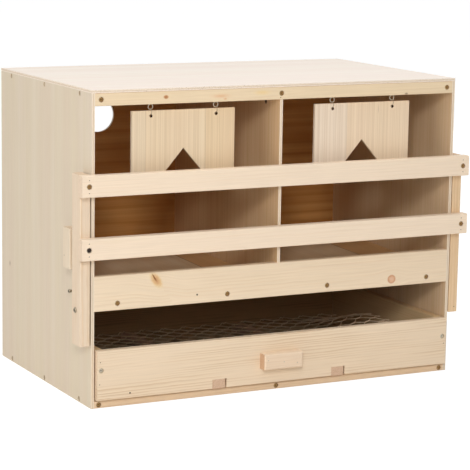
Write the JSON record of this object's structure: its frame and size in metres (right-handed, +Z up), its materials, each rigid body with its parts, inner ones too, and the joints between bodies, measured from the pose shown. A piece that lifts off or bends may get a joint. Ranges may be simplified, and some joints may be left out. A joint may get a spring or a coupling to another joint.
{
  "type": "chicken nesting box",
  "caption": "Wooden nesting box with side-by-side nests behind hanging flaps, a fold-down perch rack in front and a pull-out mesh-floored egg drawer below.",
  "frame": {"origin": "middle of the carcass's footprint on the ground, on the centre runner's underside", "axes": "+X to the right of someone facing the nests' entrances, +Y to the back, +Z up"},
  "size_m": [0.63, 0.38, 0.45],
  "materials": {
    "plywood": "raw, sanded",
    "pine": "raw, planed",
    "zinc_steel": "yellow zinc, dulled",
    "galvanised_wire": "galvanised"
  },
  "bodies": {
    "carcass": {"left_side_panel": "plywood", "right_side_panel": "plywood", "top_panel": "plywood", "back_panel": "plywood", "centre_divider": "plywood", "front_header_rail": "pine", "top_left_batten": "pine", "top_right_batten": "pine", "top_rear_rail": "pine", "bottom_front_rail": "pine", "bottom_rear_rail": "pine", "left_runner": "pine", "centre_runner": "pine", "right_runner": "pine", "nest_front_board": "pine", "nest_rear_ledger": "pine", "left_outer_bearer": "pine", "left_inner_bearer": "pine", "right_inner_bearer": "pine", "right_outer_bearer": "pine", "left_nest_floor": "plywood", "right_nest_floor": "plywood", "left_rest_block": "pine", "right_rest_block": "pine", "stop_screws": "zinc_steel", "pivot_bolts": "zinc_steel", "pivot_washers": "zinc_steel", "pivot_nuts": "zinc_steel", "screw_eyes": "zinc_steel", "header_screws": "zinc_steel", "sill_screws": "zinc_steel", "floor_rail_screws": "zinc_steel", "side_screws": "zinc_steel"},
    "perch_rack": {"perch_upper_rail": "pine", "perch_lower_rail": "pine", "perch_left_arm": "pine", "perch_right_arm": "pine", "perch_rail_screws": "zinc_steel"},
    "drawer": {"drawer_front": "pine", "drawer_left_side": "pine", "drawer_right_side": "pine", "drawer_back": "pine", "drawer_left_batten": "pine", "drawer_right_batten": "pine", "drawer_mesh": "galvanised_wire", "drawer_handle": "pine", "drawer_screws": "zinc_steel"},
    "left_flap": {"left_flap": "plywood", "left_flap_links": "zinc_steel"},
    "right_flap": {"right_flap": "plywood", "right_flap_links": "zinc_steel"}
  },
  "joints": [
    {"name": "drawer_slide", "type": "slide", "parent": "carcass", "child": "drawer", "axis": [0, -1, 0], "range_m": [0, 0.3]},
    {"name": "perch_fold", "type": "hinge", "parent": "carcass", "child": "perch_rack", "pos_m": [0, -0.1625, 0.141], "axis": [1, 0, 0], "range_deg": [0, 88]},
    {"name": "left_flap_swing", "type": "hinge", "parent": "carcass", "child": "left_flap", "pos_m": [-0.14637, -0.157, 0.4182], "axis": [1, 0, 0], "range_deg": [-7, 80]},
    {"name": "right_flap_swing", "type": "hinge", "parent": "carcass", "child": "right_flap", "pos_m": [0.14637, -0.157, 0.4182], "axis": [1, 0, 0], "range_deg": [-7, 80]}
  ]
}
